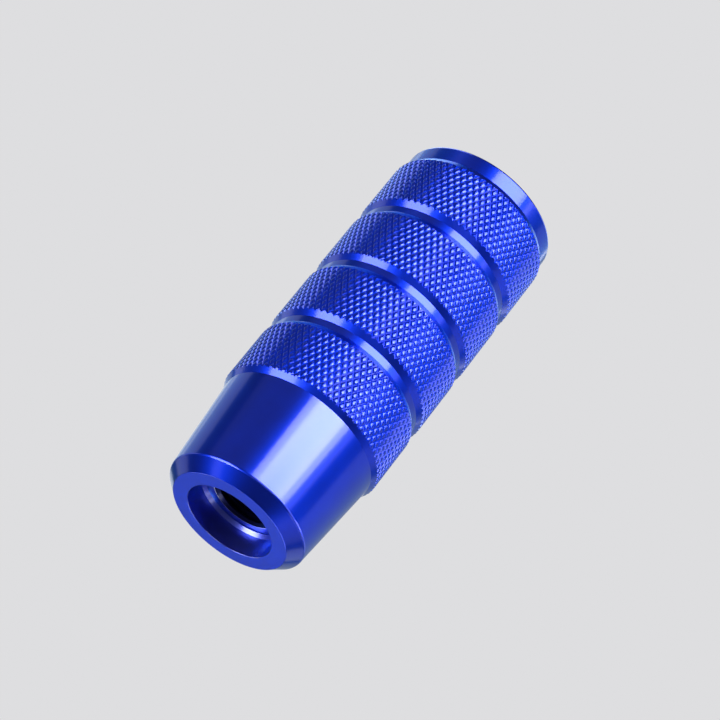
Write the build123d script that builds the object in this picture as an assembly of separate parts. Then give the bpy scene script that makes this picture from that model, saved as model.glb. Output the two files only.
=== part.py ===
from build123d import *
import math
import os

# A gear shift knob, turned from one bar of aluminium and knurled in bands.
# The origin is the centre of the bored end face, and +Z runs along the axis to the head.
# Lengths are in millimetres and angles in degrees.

# Knurled bands and the grooves between them
grip_diameter = 30.0
band_count = 4
band_length = 9.95
groove_depth = 0.7
groove_floor_length = 1.35
ramp_length = 1.2

# Smooth ends: a tapered collar at the bored end and a plain band at the head
collar_height = 19.5
collar_taper_angle = 4.6
end_chamfer = 2.1
head_band_height = 3.15
head_edge_break = 0.4

# Diamond knurl: pitch round the grip, slope of its grooves from the axis, depth of a groove
knurl_pitch = 1.96
knurl_angle = 33.0
knurl_depth = 0.4

# Bored end: an open recess with a sloping corner at its floor,
# then a countersunk hole at the minor diameter of its thread
recess_diameter = 16.0
recess_depth = 4.5
recess_edge_break = 0.15
recess_corner = 0.6
thread_minor_diameter = 10.8
thread_length = 20.0
countersink_depth = 0.5
countersink_angle = 120.0
drill_past_thread = 3.0
drill_point_angle = 118.0

# Height of a ramp's foot above the groove floor that it stands on
ramp_foot_step = 0.02

# Radii and heights that follow from the sizes above
grip_radius = grip_diameter / 2
relief_radius = grip_radius - groove_depth
collar_foot_radius = relief_radius - (collar_height - end_chamfer) * math.tan(math.radians(collar_taper_angle))
end_face_radius = collar_foot_radius - end_chamfer
recess_radius = recess_diameter / 2
thread_minor_radius = thread_minor_diameter / 2

groove_length = 2 * ramp_length + groove_floor_length
band_pitch = band_length + groove_length
bands_top = collar_height + band_count * band_pitch - groove_floor_length
knob_length = bands_top + head_band_height

knurl_count = round(math.pi * grip_diameter / knurl_pitch)
ring_steps = 2 * knurl_count
row_count = round(2 * band_length * math.tan(math.radians(knurl_angle)) / knurl_pitch)
row_height = band_length / row_count
knurl_run_out = knurl_depth * ramp_length / groove_depth


def turned_body():
    """Collar, groove floors and head band: everything that is turned smooth."""
    outline = Polyline(
        (0, 0),
        (end_face_radius, 0),
        (collar_foot_radius, end_chamfer),
        (relief_radius, collar_height),
        (relief_radius, knob_length - head_edge_break),
        (relief_radius - head_edge_break, knob_length),
        (0, knob_length),
        close=True,
    )
    return revolve(make_face(Plane.XZ * outline), Axis.Z)


def lever_hole():
    """The recess, the countersunk thread hole and the drill's point, as one solid to cut away."""
    countersink_radius = thread_minor_radius + countersink_depth * math.tan(math.radians(countersink_angle / 2))
    drill_end = recess_depth + thread_length + drill_past_thread
    drill_point = thread_minor_radius / math.tan(math.radians(drill_point_angle / 2))
    outline = Polyline(
        (0, 0),
        (recess_radius + recess_edge_break, 0),
        (recess_radius, recess_edge_break),
        (recess_radius, recess_depth - recess_corner),
        (recess_radius - recess_corner, recess_depth),
        (countersink_radius, recess_depth),
        (thread_minor_radius, recess_depth + countersink_depth),
        (thread_minor_radius, drill_end),
        (0, drill_end + drill_point),
        close=True,
    )
    return revolve(make_face(Plane.XZ * outline), Axis.Z)


def ring_point(radius, step, height):
    """A point on a ring round the axis; a knurl diamond spans two steps."""
    angle = 2 * math.pi * step / ring_steps
    return (radius * math.cos(angle), radius * math.sin(angle), height)


def foot_ring(height):
    """The foot of a ramp, a polygon that stands just clear of the groove floor all round."""
    radius = (relief_radius + ramp_foot_step) / math.cos(math.pi / ring_steps)
    return [ring_point(radius, step, height) for step in range(ring_steps)]


def knurl_ring(row):
    """One row across the knurl: diamond tips and crossings of its grooves by turns."""
    ring = []
    for step in range(ring_steps):
        height = ramp_length + row * row_height
        radius = grip_radius
        if (step + row) % 2:
            radius = grip_radius - knurl_depth
            if row == 0:
                height -= knurl_run_out
            if row == row_count:
                height += knurl_run_out
        ring.append(ring_point(radius, step, height))
    return ring


def facet(*corners):
    """A flat face between three or more points."""
    return Face(Wire.make_polygon(corners))


def knurled_band():
    """A band of diamonds between two ramps, with the foot of its lower ramp on the XY plane."""
    top = band_length + 2 * ramp_length
    rings = [foot_ring(0)]
    rings += [knurl_ring(row) for row in range(row_count + 1)]
    rings.append(foot_ring(top))
    faces = [facet(*rings[0]), facet(*rings[-1])]
    for level, (lower, upper) in enumerate(zip(rings, rings[1:])):
        for step in range(ring_steps):
            after = (step + 1) % ring_steps
            corners = [lower[step], lower[after], upper[after], upper[step]]
            if (step + level) % 2 == 0:
                corners = corners[1:] + corners[:1]
            a, b, c, d = corners
            # b and d are groove crossings, or a crossing and the ramp's foot
            faces += [facet(a, b, d), facet(b, c, d)]
    return Solid(Shell(faces))


def knob_body():
    """The whole knob: the turned body with its knurled bands on it, bored for the lever."""
    band = knurled_band()
    bands = [Pos(0, 0, collar_height + index * band_pitch) * band for index in range(band_count)]
    return turned_body().fuse(*bands) - lever_hole()


os.makedirs("parts", exist_ok=True)
export_step(knob_body(), "parts/knob_body.step")
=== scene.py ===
import math

import bmesh
import bpy
from bpy.props import FloatProperty, FloatVectorProperty, IntProperty, PointerProperty
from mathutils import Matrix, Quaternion, Vector


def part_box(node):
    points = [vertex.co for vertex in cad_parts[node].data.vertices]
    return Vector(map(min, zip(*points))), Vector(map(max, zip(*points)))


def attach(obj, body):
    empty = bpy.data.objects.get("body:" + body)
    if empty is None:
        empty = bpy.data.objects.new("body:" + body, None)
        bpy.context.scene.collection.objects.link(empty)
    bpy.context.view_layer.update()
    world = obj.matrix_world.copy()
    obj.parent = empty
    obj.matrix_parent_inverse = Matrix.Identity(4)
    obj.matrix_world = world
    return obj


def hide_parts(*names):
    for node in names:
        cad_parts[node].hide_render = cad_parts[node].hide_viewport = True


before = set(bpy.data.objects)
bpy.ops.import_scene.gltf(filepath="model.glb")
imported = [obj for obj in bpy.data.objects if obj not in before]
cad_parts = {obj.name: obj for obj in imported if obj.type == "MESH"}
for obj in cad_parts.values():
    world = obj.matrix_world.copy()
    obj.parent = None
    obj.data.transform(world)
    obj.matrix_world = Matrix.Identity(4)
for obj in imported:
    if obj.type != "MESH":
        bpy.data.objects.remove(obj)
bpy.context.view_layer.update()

bl_info = {
    "name": "Knurled gear shift knob",
    "version": (1, 0, 0),
    "blender": (4, 5, 0),
    "location": "View3D > Sidebar > Shift Knob",
    "description": "A turned, knurled and blue anodised gear shift knob with its studio",
    "category": "Object",
}

KNOB_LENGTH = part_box("knob_body")[1][2]

# The knob is modelled in millimetres and shrunk to metres when its shape is done
MM = 1000.0
# Two points nearer than this many millimetres are one point
MERGE = 0.0015
# Lines beside an edge, this many millimetres from it, keep the faces between the edges plain
HELD = 0.6
# A diamond's place in each band, in millimetres: along the axis from its middle, and round the grip
KNURL_STARTS = ((0.334, 1.981), (-0.071, 2.127), (-0.426, 2.257), (0.125, 1.731))
# Steps round the axis of the lever's thread and of the plain bore beyond it
BORE_STEPS = 72
# Slope of a thread's flank from the plane across its axis
THREAD_FLANK = math.radians(30)
# Faces that meet at less than this are shaded as one surface
SMOOTH_ANGLE = math.radians(24)
# How much paler and darker than the dye its clouds are
DYE_SPREAD = 0.10


def length(name, description, default):
    return FloatProperty(name=name, description=description, default=default, unit="LENGTH", precision=5)


def angle(name, description, degrees):
    return FloatProperty(name=name, description=description, default=math.radians(degrees), subtype="ANGLE")


def number(name, description, default):
    return FloatProperty(name=name, description=description, default=default)


def colour(name, description, default):
    return FloatVectorProperty(name=name, description=description, default=default, subtype="COLOR")


class KnobSizes(bpy.types.PropertyGroup):
    grip_diameter: length("Grip diameter", "Across the tops of the knurl", 0.030)
    band_count: IntProperty(name="Bands", description="Number of knurled bands", default=4)
    band_length: length("Band length", "Knurled length of one band", 0.00995)
    groove_depth: length("Groove depth", "From the knurl's tops to a groove's floor", 0.0007)
    groove_floor: length("Groove floor", "Width of a groove's flat floor", 0.00135)
    ramp_length: length("Ramp length", "Length of the slope at each end of a band", 0.0012)
    collar_height: length("Collar height", "From the bored end to the first band's ramp", 0.0195)
    collar_taper: angle("Collar taper", "Slope of the collar from the axis", 4.6)
    end_chamfer: length("End chamfer", "Size of the chamfer at the bored end", 0.0021)
    collar_edge: length("Collar edge", "Rounding between the collar and the chamfer", 0.0002)
    end_edge: length("End edge", "Rounding between the chamfer and the end face", 0.00004)
    head_edge: length("Head edge", "Rounding of the head's edge", 0.0004)
    recess_diameter: length("Recess diameter", "Open recess in the bored end", 0.016)
    recess_depth: length("Recess depth", "Depth of the recess", 0.00462)
    corner_width: length("Corner width", "Of the sloping corner at the recess's floor", 0.00044)
    corner_depth: length("Corner depth", "Of the sloping corner at the recess's floor", 0.00065)
    recess_edge: length("Recess edge", "Break of the recess's edge", 0.00008)
    sink_edge: length("Countersink edge", "Break between the recess's floor and the countersink", 0.00006)
    countersink_depth: length("Countersink depth", "Depth of the cone before the thread", 0.00038)
    countersink_angle: angle("Countersink angle", "Whole angle of that cone", 120.0)
    thread_diameter: length("Thread diameter", "Major diameter of the lever's thread", 0.012)
    thread_minor: length("Minor diameter", "Bore of the thread", 0.0108)
    thread_pitch: length("Thread pitch", "Rise of one turn", 0.00125)
    thread_length: length("Thread length", "Depth that is threaded", 0.020)
    drill_past_thread: length("Drill past thread", "Plain bore beyond the thread", 0.003)
    drill_angle: angle("Drill angle", "Whole angle of the drill's point", 118.0)
    knurl_count: IntProperty(name="Diamonds", description="Diamonds once round the grip", default=75)
    knurl_angle: angle("Knurl angle", "Slope of the knurl's grooves from the axis", 31.5)
    knurl_depth: length("Knurl depth", "Depth of the knurl's grooves", 0.00018)
    knurl_flank: length("Knurl flank", "Width of the slope round each diamond's top", 0.00029)
    knurl_edge: length("Knurl edge", "Break round each diamond's top", 0.00006)


class KnobFinish(bpy.types.PropertyGroup):
    dye: colour("Dye", "Colour of the anodised layer", (0.0005, 0.041, 0.92))
    edge_dye: colour("Dye at the limbs", "Colour of the metal seen at a low angle", (0.02, 1.0, 1.0))
    roughness: number("Roughness", "Of the metal under the layer", 0.36)
    film_roughness: number("Film roughness", "Of the clear oxide film", 0.15)
    film_index: number("Film index", "Refractive index of the film", 1.65)
    # Painted light: the recess is painted paler than the outside, standing in for the light its walls catch
    recess_painted_light: colour("Dye inside", "Colour of the recess", (0.090, 0.120, 0.74))
    inside_radius: length("Inside radius", "Just past the recess's wall", 0.00806)
    # Painted highlight: a pale ring painted on the countersink's edge, standing in for the bright line along
    # that edge
    rim_painted_highlight: colour("Dye on the rim", "Colour of the worn rim round the countersink", (0.42, 0.44, 0.78))
    rim_radius: length("Rim radius", "Outer radius of that rim", 0.00614)
    # Painted shade: the countersink and the thread are painted near black, standing in for the shade deep in
    # the bore
    bore_painted_shade: colour("Dye in the bore", "Colour of the countersink and the thread", (0.012, 0.014, 0.09))
    bore_radius: length("Bore radius", "Inner radius of the worn rim", 0.00602)
    bore_dullness: number("Bore dullness", "How much of the film the bore is without", 0.8)
    inside_depth: length("Inside depth", "Height below which these colours lie", 0.04)
    turning_pitch: length("Turning pitch", "Distance between turning marks", 0.00007)
    mark_height: length("Mark height", "Of the turning marks and the grain", 0.0000012)
    grain_scale: number("Grain scale", "Grains of the surface to a metre", 9000.0)
    grain_roughness: number("Grain roughness", "How far the grain changes the roughness", 0.10)
    cloud_scale: number("Cloud scale", "Clouds of the dye to a metre", 160.0)
    cloud_roughness: number("Cloud roughness", "How far the clouds change the roughness", 0.06)


class KnobStudio(bpy.types.PropertyGroup):
    focal_length: number("Focal length", "Of the camera, in mm", 152.6)
    camera_distance: length("Camera distance", "From the camera to its aim", 0.5037)
    camera_elevation: angle("Camera elevation", "Of the camera over the floor", -30.72)
    camera_roll: angle("Camera roll", "Turn of the picture", 38.54)
    aim_height: length("Aim height", "Height on the knob's axis that the camera is aimed from", 0.03844)
    aim_right: length("Aim to the right", "From that height to the aim, across the picture", 0.000165)
    aim_up: length("Aim upwards", "From that height to the aim, up the picture", -0.00020)
    backdrop: colour("Backdrop", "Colour of the plain background", (0.730, 0.730, 0.745))
    air: colour("Air", "Dim light of the studio round the lamps", (0.045, 0.045, 0.045))
    lamp_distance: length("Lamp distance", "From the knob's middle to each lamp", 1.6)
    floor_size: length("Floor size", "Side of the floor", 1.6)
    floor_colour: colour("Floor", "Colour of the floor", (0.80, 0.80, 0.80))


def deselect():
    """Leave edit mode with nothing selected."""
    if bpy.context.object and bpy.context.object.mode == "EDIT":
        bpy.ops.object.mode_set(mode="OBJECT")
    bpy.ops.object.select_all(action="DESELECT")


def edit(piece):
    """Open one piece for editing, with all of it selected."""
    deselect()
    bpy.context.view_layer.objects.active = piece
    piece.select_set(True)
    bpy.ops.object.mode_set(mode="EDIT")
    bpy.ops.mesh.select_all(action="SELECT")


def select(kind, wanted):
    """Select the vertices, edges or faces of the edited piece that a test picks."""
    bpy.ops.mesh.select_mode(type=kind)
    bpy.ops.mesh.select_all(action="DESELECT")
    mesh = bpy.context.object.data
    net = bmesh.from_edit_mesh(mesh)
    found = 0
    for item in {"VERT": net.verts, "EDGE": net.edges, "FACE": net.faces}[kind]:
        if wanted(item):
            item.select_set(True)
            found += 1
    net.select_flush_mode()
    bmesh.update_edit_mesh(mesh)
    if not found:
        raise RuntimeError("nothing to select in " + bpy.context.object.name)


def near(one, other):
    """Whether two lengths are the same but for rounding."""
    return abs(one - other) < MERGE


def all_corners(test):
    """A test that holds for an edge or a face when it holds at each of its corners."""
    return lambda item: all(test(corner.co) for corner in item.verts)


def open_edges(test):
    """A test for the edges of an opening whose corners pass a test."""
    return lambda edge: edge.is_boundary and all(test(corner.co) for corner in edge.verts)


def repeat(piece, count, step):
    """Copy a piece along a step, and join the copies where they touch."""
    row = piece.modifiers.new("row", "ARRAY")
    row.count = count
    row.use_relative_offset = False
    row.use_constant_offset = True
    row.constant_offset_displace = step
    row.use_merge_vertices = True
    row.merge_threshold = MERGE
    bpy.ops.object.modifier_apply(modifier=row.name)


def wrap(piece, radius):
    """Bend a flat sheet round the Z axis and close its seam."""
    across = [corner.co.x for corner in piece.data.vertices]
    bend = piece.modifiers.new("wrap", "SIMPLE_DEFORM")
    bend.deform_method = "BEND"
    bend.deform_axis = "Z"
    bend.angle = (max(across) - min(across)) / radius
    bpy.ops.object.modifier_apply(modifier=bend.name)
    edit(piece)
    bpy.ops.transform.translate(value=(0, -radius, 0))
    bpy.ops.mesh.remove_doubles(threshold=MERGE)


class KNOB_OT_add_body(bpy.types.Operator):
    """Make the turned and knurled knob, and put it in the place of its solid"""
    bl_idname = "knob.add_body"
    bl_label = "Knurled Knob"

    def execute(self, context):
        sizes = context.scene.knob_sizes
        piece = self.unrolled_grip(sizes)
        self.rolled_up(piece, sizes)
        self.bored(piece, sizes)
        self.finished(piece)
        piece.data.materials.append(anodised_aluminium(context.scene.knob_finish))
        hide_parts("knob_body")
        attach(piece, "root")
        return {"FINISHED"}

    def diamond(self, sizes):
        """One diamond of the knurl, lying in the XZ plane with the grip's surface at y = 0."""
        depth = sizes.knurl_depth * MM
        half_width = math.pi * sizes.grip_diameter * MM / sizes.knurl_count / 2
        half_height = half_width / math.tan(sizes.knurl_angle)
        deselect()
        bpy.ops.mesh.primitive_circle_add(
            vertices=4, radius=1, fill_type="NGON", location=(0, depth, 0), rotation=(math.pi / 2, 0, 0)
        )
        piece = bpy.context.object
        bpy.ops.transform.resize(value=(half_width, 1, half_height))
        bpy.ops.object.transform_apply(location=True, rotation=True, scale=True)
        edit(piece)
        bpy.ops.mesh.inset(thickness=sizes.knurl_flank * MM, depth=depth)
        bpy.ops.mesh.bevel(offset=sizes.knurl_edge * MM, segments=1, affect="EDGES")
        bpy.ops.object.mode_set(mode="OBJECT")
        return piece, half_width, half_height

    def run(self, points):
        """Draw the open edge out through points, each a radius and a height."""
        for radius, height in points:
            bpy.ops.mesh.extrude_edges_move()
            bpy.ops.transform.resize(value=(1, 0, 0), center_override=(0, self.grip_radius - radius, height))

    def unrolled_grip(self, sizes):
        """The whole outside of the knob, one diamond wide, unrolled on the XZ plane."""
        self.grip_radius = sizes.grip_diameter * MM / 2
        self.relief = self.grip_radius - sizes.groove_depth * MM
        band = sizes.band_length * MM
        ramp = sizes.ramp_length * MM
        depth = sizes.groove_depth * MM
        pitch = band + 2 * ramp + sizes.groove_floor * MM
        strips = []
        for index in range(sizes.band_count):
            start = sizes.collar_height * MM + ramp + index * pitch
            end = start + band
            along, across = KNURL_STARTS[index % len(KNURL_STARTS)]
            strip, half_width, half_height = self.diamond(sizes)
            rows = math.ceil((band / 2 + ramp) / (2 * half_height)) + 1
            repeat(strip, 2, (half_width, 0, half_height))
            repeat(strip, 2 * rows, (0, 0, 2 * half_height))
            edit(strip)
            bpy.ops.transform.translate(value=(across, 0, (start + end) / 2 + along - 2 * half_height * rows))
            # The ramps cut through the knurl, so its grooves run out in them
            slope = Vector((0, -ramp, depth)).normalized()
            bpy.ops.mesh.bisect(plane_co=(0, 0, end), plane_no=slope, clear_outer=True, threshold=MERGE)
            bpy.ops.mesh.mark_sharp()
            self.run([(self.relief, end + ramp)])
            if index == sizes.band_count - 1:
                self.run(self.head_line())
            bpy.ops.mesh.select_all(action="SELECT")
            slope.z = -slope.z
            bpy.ops.mesh.bisect(plane_co=(0, 0, start), plane_no=slope, clear_outer=True, threshold=MERGE)
            bpy.ops.mesh.mark_sharp()
            self.run([(self.relief, start - ramp)])
            if index == 0:
                self.run(self.collar_line(sizes))
            bpy.ops.object.mode_set(mode="OBJECT")
            strips.append(strip)
        deselect()
        for strip in strips:
            strip.select_set(True)
        bpy.ops.object.join()
        self.soften(sizes)
        return bpy.context.object

    def head_line(self):
        """The head's outline, from the last ramp to the axis."""
        head = KNOB_LENGTH * MM
        return [(self.relief, head - HELD), (self.relief, head), (self.relief - HELD, head), (0, head)]

    def collar_radii(self, sizes):
        """Radii of the collar and of the chamfer, each at its foot."""
        chamfer = sizes.end_chamfer * MM
        collar_foot = self.relief - (sizes.collar_height * MM - chamfer) * math.tan(sizes.collar_taper)
        return collar_foot, collar_foot - chamfer

    def sink_radius(self, sizes):
        """Radius of the countersink at the recess's floor."""
        spread = sizes.countersink_depth * MM * math.tan(sizes.countersink_angle / 2)
        return sizes.thread_minor * MM / 2 + spread

    def collar_line(self, sizes):
        """The outline of the bored end, from the first ramp down the collar and into the recess."""
        chamfer = sizes.end_chamfer * MM
        collar_foot, chamfer_foot = self.collar_radii(sizes)
        recess = sizes.recess_diameter * MM / 2
        recess_depth = sizes.recess_depth * MM
        corner = sizes.corner_width * MM
        return [
            (collar_foot + HELD * math.tan(sizes.collar_taper), chamfer + HELD),
            (collar_foot, chamfer),
            (collar_foot - HELD / 2, chamfer - HELD / 2),
            (chamfer_foot + HELD / 2, HELD / 2),
            (chamfer_foot, 0),
            (chamfer_foot - HELD, 0),
            (recess + HELD, 0),
            (recess, 0),
            (recess, HELD),
            (recess, recess_depth - sizes.corner_depth * MM),
            (recess - corner, recess_depth),
            (recess - corner - HELD / 3, recess_depth),
            (self.sink_radius(sizes), recess_depth),
        ]

    def soften(self, sizes):
        """Break the turned edges of both ends."""
        collar_foot, chamfer_foot = self.collar_radii(sizes)
        edit(bpy.context.object)
        breaks = [
            (KNOB_LENGTH * MM, self.relief, sizes.head_edge, 5),
            (sizes.end_chamfer * MM, collar_foot, sizes.collar_edge, 3),
            (0, chamfer_foot, sizes.end_edge, 2),
            (0, sizes.recess_diameter * MM / 2, sizes.recess_edge, 2),
        ]
        for height, radius, width, segments in breaks:
            deep = self.grip_radius - radius
            select("EDGE", all_corners(lambda place: near(place.z, height) and near(place.y, deep)))
            bpy.ops.mesh.bevel(offset=width * MM, segments=segments, affect="EDGES")
        bpy.ops.object.mode_set(mode="OBJECT")

    def rolled_up(self, piece, sizes):
        """Copy the unrolled width round the grip, wrap it round the axis and close the grooves."""
        width = math.pi * sizes.grip_diameter * MM / sizes.knurl_count
        repeat(piece, sizes.knurl_count, (width, 0, 0))
        wrap(piece, self.grip_radius)
        ramps = (sizes.band_length + 2 * sizes.ramp_length) * MM
        floor = sizes.groove_floor * MM
        for index in range(1, sizes.band_count):
            upper = sizes.collar_height * MM + index * (ramps + floor)
            lower = upper - floor
            select("EDGE", open_edges(lambda place: near(place.z, lower) or near(place.z, upper)))
            bpy.ops.mesh.bridge_edge_loops()
        bpy.ops.object.mode_set(mode="OBJECT")

    def thread(self, sizes):
        """The lever's thread, right-handed, unrolled as one strip and wrapped round the axis."""
        pitch = sizes.thread_pitch * MM
        major = sizes.thread_diameter * MM / 2
        depth = major - sizes.thread_minor * MM / 2
        flank = depth * math.tan(THREAD_FLANK)
        # The flat at the major diameter is an eighth of the pitch
        root = pitch / 8
        crest = pitch - root - 2 * flank
        width = 2 * math.pi * major / BORE_STEPS
        start = (sizes.recess_depth + sizes.countersink_depth) * MM
        end = (sizes.recess_depth + sizes.thread_length) * MM
        deselect()
        bpy.ops.mesh.primitive_plane_add(size=width, location=(width / 2, width / 2, 0))
        piece = bpy.context.object
        bpy.ops.object.transform_apply(location=True)
        edit(piece)
        select("VERT", lambda corner: corner.co.y > width / 2)
        bpy.ops.mesh.delete(type="VERT")
        select("VERT", lambda corner: corner.co.x > width / 2)
        bpy.ops.transform.translate(value=(0, 0, pitch / BORE_STEPS))
        select("EDGE", lambda edge: True)
        for turn in range(math.ceil((end - start) / pitch) + 2):
            for inward, rise in ((0, root), (depth, flank), (0, crest), (-depth, flank)):
                bpy.ops.mesh.extrude_edges_move(TRANSFORM_OT_translate={"value": (0, inward, rise)})
        bpy.ops.mesh.select_all(action="SELECT")
        bpy.ops.transform.translate(value=(0, 0, start - 2 * pitch + root / 2))
        bpy.ops.object.mode_set(mode="OBJECT")
        repeat(piece, BORE_STEPS, (width, 0, pitch / BORE_STEPS))
        wrap(piece, major)
        for height, way in ((start, -1), (end, 1)):
            bpy.ops.mesh.select_all(action="SELECT")
            bpy.ops.mesh.bisect(
                plane_co=(0, 0, height), plane_no=(0, 0, way), clear_outer=True, threshold=MERGE / 10
            )
        bpy.ops.object.mode_set(mode="OBJECT")
        return piece

    def bored(self, piece, sizes):
        """Join the thread to the recess, and end the bore in the drill's point."""
        recess_depth = sizes.recess_depth * MM
        start = recess_depth + sizes.countersink_depth * MM
        end = recess_depth + sizes.thread_length * MM
        minor = sizes.thread_minor * MM / 2
        run_out = end + sizes.thread_pitch * MM / 2
        drilled = end + sizes.drill_past_thread * MM
        point = minor / math.tan(sizes.drill_angle / 2)
        thread = self.thread(sizes)
        deselect()
        thread.select_set(True)
        piece.select_set(True)
        bpy.context.view_layer.objects.active = piece
        bpy.ops.object.join()
        edit(piece)
        bpy.ops.mesh.select_all(action="DESELECT")
        bpy.ops.mesh.primitive_circle_add(vertices=BORE_STEPS, radius=minor, location=(0, 0, run_out))
        bpy.ops.mesh.extrude_edges_move(TRANSFORM_OT_translate={"value": (0, 0, drilled - run_out)})
        bpy.ops.mesh.extrude_edges_move(TRANSFORM_OT_translate={"value": (0, 0, point)})
        bpy.ops.mesh.merge(type="CENTER")
        wall = sizes.recess_diameter * MM / 2 - MERGE
        for lower, upper in ((recess_depth, start), (end, run_out)):
            select("EDGE", open_edges(
                lambda place: (near(place.z, lower) or near(place.z, upper)) and place.xy.length < wall
            ))
            bpy.ops.mesh.bridge_edge_loops()
        sink = self.sink_radius(sizes)
        select("EDGE", all_corners(
            lambda place: near(place.z, recess_depth) and near(place.xy.length, sink)
        ))
        bpy.ops.mesh.bevel(offset=sizes.sink_edge * MM, segments=2, affect="EDGES")
        bpy.ops.object.mode_set(mode="OBJECT")

    def finished(self, piece):
        """Shrink to metres, turn the faces outwards and smooth what is turned."""
        edit(piece)
        bpy.ops.mesh.dissolve_degenerate(threshold=MERGE / 10)
        bpy.ops.mesh.select_all(action="SELECT")
        bpy.ops.mesh.normals_make_consistent(inside=False)
        bpy.ops.transform.resize(value=(1 / MM, 1 / MM, 1 / MM), center_override=(0, 0, 0))
        bpy.ops.object.mode_set(mode="OBJECT")
        net = bmesh.new()
        net.from_mesh(piece.data)
        loose = [edge for edge in net.edges if len(edge.link_faces) != 2]
        net.free()
        if loose:
            raise RuntimeError(str(len(loose)) + " open edges in the knob")
        bpy.ops.object.shade_smooth_by_angle(angle=SMOOTH_ANGLE)
        piece.name = "knurled_knob"


class Value:
    """A number that varies over a finish, on which sums can be written."""

    def __init__(self, finish, socket):
        self.finish = finish
        self.socket = socket

    def sum_with(self, operation, *numbers):
        inputs = dict(enumerate(numbers))
        return self.finish.node("ShaderNodeMath", {"operation": operation}, inputs)

    def __add__(self, other):
        return self.sum_with("ADD", self, other)

    def __radd__(self, other):
        return self.sum_with("ADD", other, self)

    def __sub__(self, other):
        return self.sum_with("SUBTRACT", self, other)

    def __rsub__(self, other):
        return self.sum_with("SUBTRACT", other, self)

    def __mul__(self, other):
        return self.sum_with("MULTIPLY", self, other)

    def __rmul__(self, other):
        return self.sum_with("MULTIPLY", other, self)

    def __truediv__(self, other):
        return self.sum_with("DIVIDE", self, other)

    def __pow__(self, other):
        return self.sum_with("POWER", self, other)

    def __lt__(self, other):
        return self.sum_with("LESS_THAN", self, other)

    def __gt__(self, other):
        return self.sum_with("GREATER_THAN", self, other)


class Finish:
    """The nodes of a material or of the world, under construction."""

    def __init__(self, owner):
        owner.use_nodes = True
        self.tree = owner.node_tree
        self.tree.nodes.clear()

    def node(self, kind, settings=None, inputs=None, output=0):
        """Add a node with its settings and inputs, and give back one of its outputs."""
        node = self.tree.nodes.new(kind)
        for key, setting in (settings or {}).items():
            setattr(node, key, setting)
        for key, value in (inputs or {}).items():
            if isinstance(value, Value):
                self.tree.links.new(value.socket, node.inputs[key])
            else:
                node.inputs[key].default_value = value
        if output is None:
            return node
        return Value(self, node.outputs[output])

    def mix(self, factor, *colours):
        """A colour between two others, each a varying one or plain red, green and blue."""
        first, second = (paint if isinstance(paint, Value) else (*paint, 1) for paint in colours)
        inputs = {"Factor": factor, "A": first, "B": second}
        return self.node("ShaderNodeMix", {"data_type": "RGBA"}, inputs, output="Result")


def anodised_aluminium(look):
    """Blue dyed oxide film over fine turning marks."""
    material = bpy.data.materials.new("blue_anodised_aluminium")
    finish = Finish(material)
    place = finish.node("ShaderNodeTexCoord", output="Object")
    x, y, z = (
        finish.node("ShaderNodeSeparateXYZ", inputs={"Vector": place}, output=axis) for axis in "XYZ"
    )
    radius = (x * x + y * y) ** 0.5
    # Marks of the lathe: rings along the side, and round the axis on the end faces
    marks = finish.node(
        "ShaderNodeTexNoise",
        {"noise_dimensions": "1D"},
        {"W": (z + radius) / look.turning_pitch, "Scale": 1.0, "Detail": 2.0, "Roughness": 0.6},
    )
    grain = finish.node(
        "ShaderNodeTexNoise",
        inputs={"Vector": place, "Scale": look.grain_scale, "Detail": 2.0, "Roughness": 0.6},
    )
    cloud = finish.node(
        "ShaderNodeTexNoise",
        inputs={"Vector": place, "Scale": look.cloud_scale, "Detail": 3.0, "Roughness": 0.5},
    )
    relief = finish.node(
        "ShaderNodeBump",
        inputs={"Strength": 1.0, "Distance": look.mark_height, "Height": marks * 0.6 + grain * 0.4},
    )
    # The recess is painted paler as painted light, the countersink's edge has a pale ring as a painted
    # highlight, and the bore is painted near black as painted shade and is dull
    low = z < look.inside_depth
    inside = low * (radius < look.inside_radius)
    rim = low * (radius < look.rim_radius)
    bore = low * (radius < look.bore_radius)
    dye = Vector(look.dye)
    paint = finish.mix(cloud, dye * (1 - DYE_SPREAD), dye * (1 + DYE_SPREAD))
    for part, tint in ((inside, look.recess_painted_light), (rim, look.rim_painted_highlight), (bore, look.bore_painted_shade)):
        paint = finish.mix(part, paint, tint)
    uneven = (cloud - 0.5) * look.cloud_roughness + (grain - 0.5) * look.grain_roughness
    shader = finish.node(
        "ShaderNodeBsdfPrincipled",
        inputs={
            "Base Color": paint,
            "Metallic": 1.0,
            "Specular Tint": (*look.edge_dye, 1),
            "Roughness": look.roughness + uneven,
            "Coat Weight": 1 - bore * look.bore_dullness,
            "Coat Roughness": look.film_roughness,
            "Coat IOR": look.film_index,
            "Normal": relief,
        },
    )
    finish.node("ShaderNodeOutputMaterial", inputs={"Surface": shader}, output=None)
    return material


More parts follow.
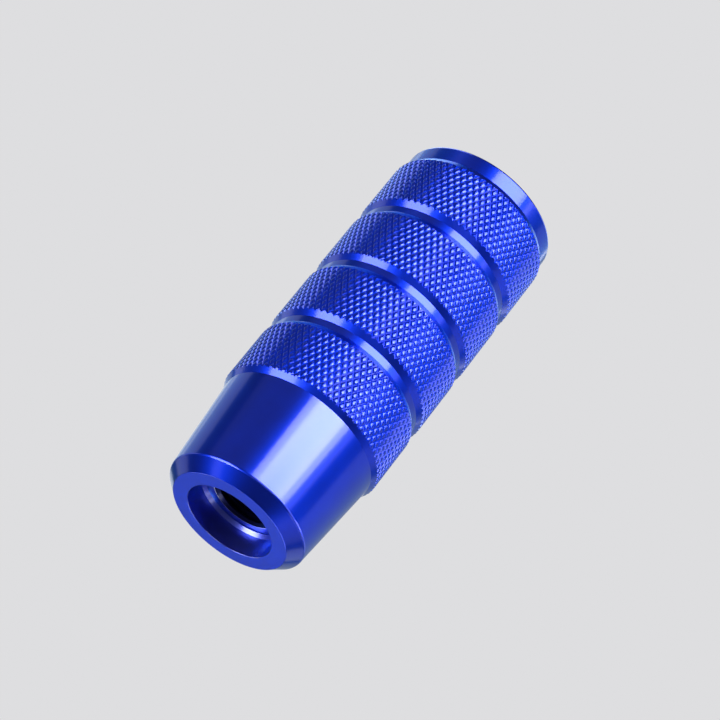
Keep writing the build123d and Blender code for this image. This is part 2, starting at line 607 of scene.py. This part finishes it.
# Soft lamps seen from the knob: name, azimuth, elevation, width and height in degrees, brightness
LAMPS = (
    ("key", 15.5, 30.0, 40.0, 26.0, 5.4),
    ("key_wide", 15.0, 21.0, 57.0, 9.0, 5.6),
    ("key_soft", 50.5, 24.0, 13.0, 20.0, 0.6),
    ("right_low", 54.7, 2.0, 20.5, 14.0, 2.1),
    ("right_edge", 81.0, 4.0, 24.0, 9.0, 5.0),
    ("right_band", 112.0, 8.0, 44.0, 8.0, 0.9),
    ("low_left", -63.5, -20.5, 33.0, 26.0, 4.2),
    ("under_left", -84.0, -49.0, 12.0, 10.0, 0.4),
    ("mouth", -58.0, -37.0, 34.0, 8.0, 10.0),
    ("under_right_1", 73.0, -33.0, 14.0, 5.0, 2.4),
    ("under_right_2", 90.0, -27.0, 14.0, 5.0, 2.0),
    ("under_right_3", 105.0, -21.0, 14.0, 5.0, 2.0),
    ("side_left", -137.0, -14.0, 20.0, 20.0, 0.42),
    ("side_right", 137.0, -14.0, 20.0, 20.0, 0.50),
    ("under_right", 94.0, -39.0, 54.0, 18.0, 0.25),
    ("below_right", 98.0, -57.0, 20.0, 10.0, 4.0),
    ("ramp_right", 92.0, -13.0, 58.0, 12.0, 0.25),
    ("left_fill", -55.0, 24.0, 60.0, 24.0, 0.09),
    ("end", 180.0, -31.0, 44.0, 24.0, 0.19),
    ("right_step", 86.0, -2.0, 36.0, 6.0, 1.0),
    ("left", -118.0, 2.0, 36.0, 10.0, 0.7),
    ("left_back", -128.0, 28.0, 34.0, 40.0, 0.34),
    ("back", -166.0, 32.0, 46.0, 50.0, 0.50),
    ("back_low", 178.0, -51.0, 50.0, 18.0, 3.0),
    ("right", 142.0, 24.0, 110.0, 50.0, 0.28),
    ("high_right", 98.7, 50.0, 74.6, 14.0, 1.5),
    ("high_left", -108.0, 54.0, 61.8, 18.0, 1.5),
    ("front_band", 6.0, -18.0, 38.0, 5.0, 3.8),
)


class KNOB_OT_set_studio(bpy.types.Operator):
    """Set up the camera, the soft lamps, the background and the floor"""
    bl_idname = "knob.set_studio"
    bl_label = "Knob Studio"

    def execute(self, context):
        studio = context.scene.knob_studio
        context.scene.view_settings.view_transform = "Standard"
        self.camera(context, studio)
        for lamp in LAMPS:
            self.lamp(studio, *lamp)
        self.backdrop(context, studio)
        self.floor(studio)
        return {"FINISHED"}

    def direction(self, azimuth, elevation):
        """The way to a place seen from the knob; azimuth 0 is in front of it."""
        return Vector((
            math.sin(azimuth) * math.cos(elevation),
            -math.cos(azimuth) * math.cos(elevation),
            math.sin(elevation),
        ))

    def camera(self, context, studio):
        """The camera, with the knob seen as in the photograph."""
        middle = Vector((0, 0, studio.aim_height))
        away = self.direction(0, studio.camera_elevation)
        turn = (-away).to_track_quat("-Z", "Y") @ Quaternion((0, 0, 1), studio.camera_roll)
        # The knob stands a hair to the left of the picture's middle, and above it
        aim = middle + turn @ Vector((studio.aim_right, studio.aim_up, 0))
        deselect()
        bpy.ops.object.camera_add(location=aim + away * studio.camera_distance, rotation=turn.to_euler())
        camera = bpy.context.object
        camera.name = "camera"
        camera.data.lens = studio.focal_length
        camera.data.clip_start = 0.01
        context.scene.camera = camera

    def lamp(self, studio, name, azimuth, elevation, across, up, brightness):
        """A softbox that faces the knob, its brightness given as a mirror would show it."""
        middle = Vector((0, 0, KNOB_LENGTH / 2))
        width = 2 * studio.lamp_distance * math.tan(math.radians(across) / 2)
        height = 2 * studio.lamp_distance * math.tan(math.radians(up) / 2)
        away = self.direction(math.radians(azimuth), math.radians(elevation))
        turn = away.to_track_quat("Z", "Y")
        deselect()
        place = middle + away * studio.lamp_distance
        bpy.ops.object.light_add(type="AREA", location=place, rotation=turn.to_euler())
        lamp = bpy.context.object
        lamp.name = name
        lamp.data.shape = "RECTANGLE"
        lamp.data.size = width
        lamp.data.size_y = height
        lamp.data.energy = brightness * width * height * math.pi
        lamp.visible_camera = False

    def backdrop(self, context, studio):
        """The plain pale background, and the dim air of the studio that the knob reflects."""
        world = bpy.data.worlds.new("studio_air")
        context.scene.world = world
        air = Finish(world)
        seen = air.node("ShaderNodeLightPath", output="Is Camera Ray")
        paint = air.mix(seen, studio.air, studio.backdrop)
        background = air.node("ShaderNodeBackground", inputs={"Color": paint})
        air.node("ShaderNodeOutputWorld", inputs={"Surface": background}, output=None)

    def floor(self, studio):
        """A plain pale floor that the camera alone sees, and only from above."""
        deselect()
        bpy.ops.mesh.primitive_plane_add(size=studio.floor_size)
        floor = bpy.context.object
        floor.name = "floor"
        edit(floor)
        bpy.ops.mesh.subdivide(number_cuts=1)
        bpy.ops.object.mode_set(mode="OBJECT")
        material = bpy.data.materials.new("pale_floor")
        finish = Finish(material)
        under = finish.node("ShaderNodeNewGeometry", output="Backfacing")
        pale = finish.node("ShaderNodeBsdfDiffuse", inputs={"Color": (*studio.floor_colour, 1)})
        clear = finish.node("ShaderNodeBsdfTransparent")
        both = finish.node("ShaderNodeMixShader", inputs={0: under, 1: pale, 2: clear})
        finish.node("ShaderNodeOutputMaterial", inputs={"Surface": both}, output=None)
        floor.data.materials.append(material)
        floor.visible_diffuse = False
        floor.visible_glossy = False
        floor.visible_transmission = False
        floor.visible_shadow = False


class KNOB_PT_panel(bpy.types.Panel):
    """Sizes, finish and studio of the gear shift knob"""
    bl_label = "Shift Knob"
    bl_idname = "KNOB_PT_panel"
    bl_space_type = "VIEW_3D"
    bl_region_type = "UI"
    bl_category = "Shift Knob"

    def draw(self, context):
        for operator in OPERATORS:
            self.layout.operator(operator.bl_idname)
        for name, group in GROUPS.items():
            box = self.layout.box()
            for key in group.__annotations__:
                box.prop(getattr(context.scene, name), key)


OPERATORS = (KNOB_OT_add_body, KNOB_OT_set_studio)
GROUPS = {"knob_sizes": KnobSizes, "knob_finish": KnobFinish, "knob_studio": KnobStudio}


def register():
    for group in GROUPS.values():
        bpy.utils.register_class(group)
    for operator in OPERATORS:
        bpy.utils.register_class(operator)
    bpy.utils.register_class(KNOB_PT_panel)
    for name, group in GROUPS.items():
        setattr(bpy.types.Scene, name, PointerProperty(type=group))


def unregister():
    for name in GROUPS:
        delattr(bpy.types.Scene, name)
    bpy.utils.unregister_class(KNOB_PT_panel)
    for operator in reversed(OPERATORS):
        bpy.utils.unregister_class(operator)
    for group in reversed(list(GROUPS.values())):
        bpy.utils.unregister_class(group)


def main():
    register()
    bpy.ops.knob.add_body()
    bpy.ops.knob.set_studio()


if __name__ == "__main__":
    main()
